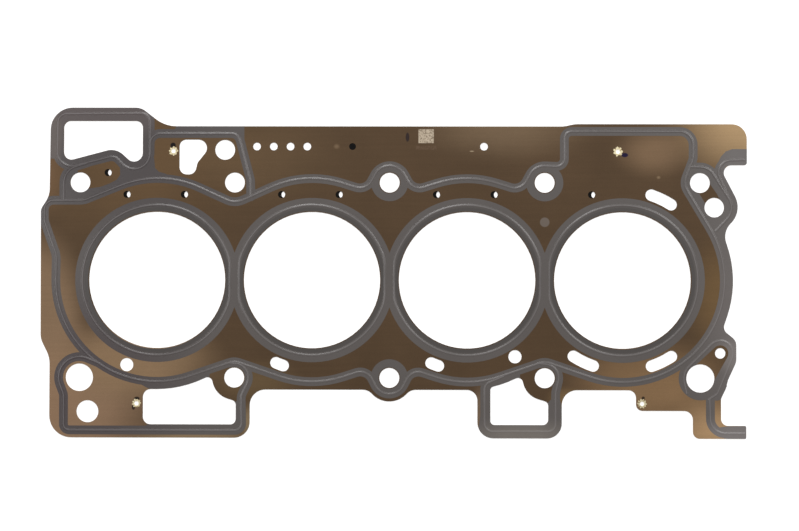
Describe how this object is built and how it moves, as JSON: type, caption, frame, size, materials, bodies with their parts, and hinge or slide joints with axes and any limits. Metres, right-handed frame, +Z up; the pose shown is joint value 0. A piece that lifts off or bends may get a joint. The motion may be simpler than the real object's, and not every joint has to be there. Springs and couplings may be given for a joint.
{
  "type": "cylinder head gasket",
  "caption": "Flat steel head gasket for an in-line engine, with riveted sheets, round bore openings, printed seal lines and oil and coolant passages.",
  "frame": {"origin": "middle of the head-bolt pattern on the line of the bores, at the lower face of the lower sheet", "axes": "+X along the bores towards the ear and foot at the right end, +Y towards the chain window's side, +Z up out of the printed upper side"},
  "size_m": [0.4169, 0.1949, 0.0012],
  "materials": {
    "sheet_steel": "bronze-tinted lacquered spring steel, fine rolling grain",
    "seal_coat": "grey screen-printed elastomer, satin",
    "rivet_metal": "bright pressed metal with torn edges"
  },
  "bodies": {
    "root": {"steel_sheets": "sheet_steel", "seal_coating": "seal_coat", "bore_coating": "seal_coat", "rivet_upper_left": "rivet_metal", "rivet_upper_right": "rivet_metal", "rivet_lower_left": "rivet_metal", "rivet_lower_right": "rivet_metal"}
  },
  "joints": []
}
